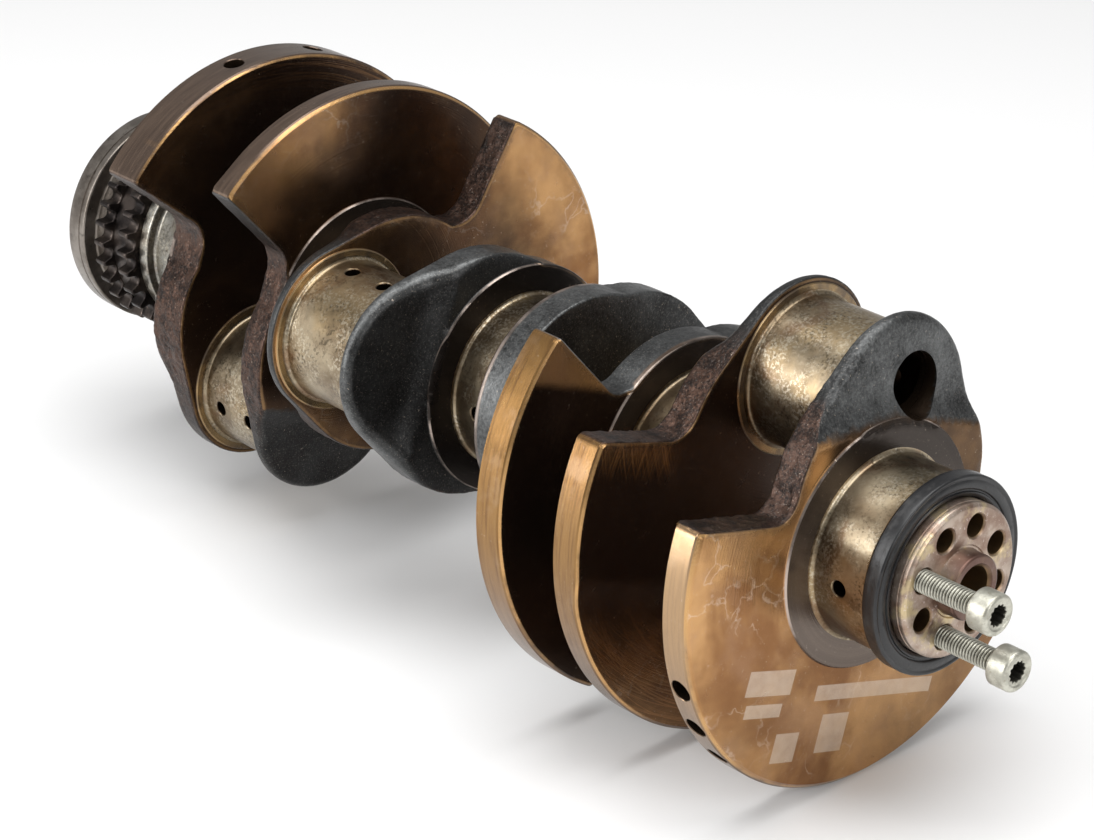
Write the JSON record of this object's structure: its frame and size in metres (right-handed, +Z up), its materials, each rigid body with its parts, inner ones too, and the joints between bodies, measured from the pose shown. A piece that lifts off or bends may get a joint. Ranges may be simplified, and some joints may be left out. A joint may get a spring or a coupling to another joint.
{
  "type": "crankshaft",
  "caption": "Forged cross-plane crankshaft of a V engine, with counterweights, drilled journals, chain teeth, flywheel flange, front shaft seal, and damper bolts part way into the nose.",
  "frame": {"origin": "on the shaft axis, in the middle of the third (centre) main journal", "axes": "+X along the shaft axis, out of the nose; +Z up, with the first crankpin leaning 20.5 degrees from +Z towards +Y; +Y completes the right-handed frame"},
  "size_m": [0.478, 0.177, 0.177],
  "materials": {
    "forged_steel": "dark as-forged scale",
    "lacquered_steel": "golden brown lacquer over machined steel",
    "journal_steel": "ground, lightly stained",
    "nose_steel": "machined, faint rust bloom",
    "flange_steel": "machined",
    "sprocket_steel": "hardened, oily",
    "seal_rubber": "moulded, matt",
    "seal_steel": "pressed",
    "spring_steel": "drawn wire",
    "zinc_bolt": "zinc flake"
  },
  "bodies": {
    "crankshaft": {"nose_hub": "nose_steel", "main_journal_1": "journal_steel", "main_journal_2": "journal_steel", "main_journal_3": "journal_steel", "main_journal_4": "journal_steel", "main_journal_5": "journal_steel", "crankpin_1": "journal_steel", "crankpin_2": "journal_steel", "crankpin_3": "journal_steel", "crankpin_4": "journal_steel", "web_1": "lacquered_steel", "web_2": "lacquered_steel", "web_3": "lacquered_steel", "web_4": "forged_steel", "web_5": "forged_steel", "web_6": "lacquered_steel", "web_7": "lacquered_steel", "web_8": "lacquered_steel", "rear_collar": "journal_steel", "chain_sprocket_inner": "sprocket_steel", "sprocket_spacer": "sprocket_steel", "chain_sprocket_outer": "sprocket_steel", "flywheel_flange": "flange_steel"},
    "front_seal": {"seal_rubber": "seal_rubber", "seal_steel_case": "seal_steel", "seal_garter_spring": "spring_steel"},
    "bolt_1": {"damper_bolt_1": "zinc_bolt"},
    "bolt_2": {"damper_bolt_2": "zinc_bolt"}
  },
  "joints": [
    {"name": "front_seal_turn", "type": "hinge", "parent": "crankshaft", "child": "front_seal", "pos_m": [0.1956, 0, 0], "axis": [1, 0, 0], "continuous": true},
    {"name": "bolt_1_travel", "type": "slide", "parent": "crankshaft", "child": "bolt_1", "axis": [1, 0, 0], "range_m": [-0.0237, 0.0125]},
    {"name": "bolt_2_travel", "type": "slide", "parent": "crankshaft", "child": "bolt_2", "axis": [1, 0, 0], "range_m": [-0.0237, 0.0125]}
  ]
}
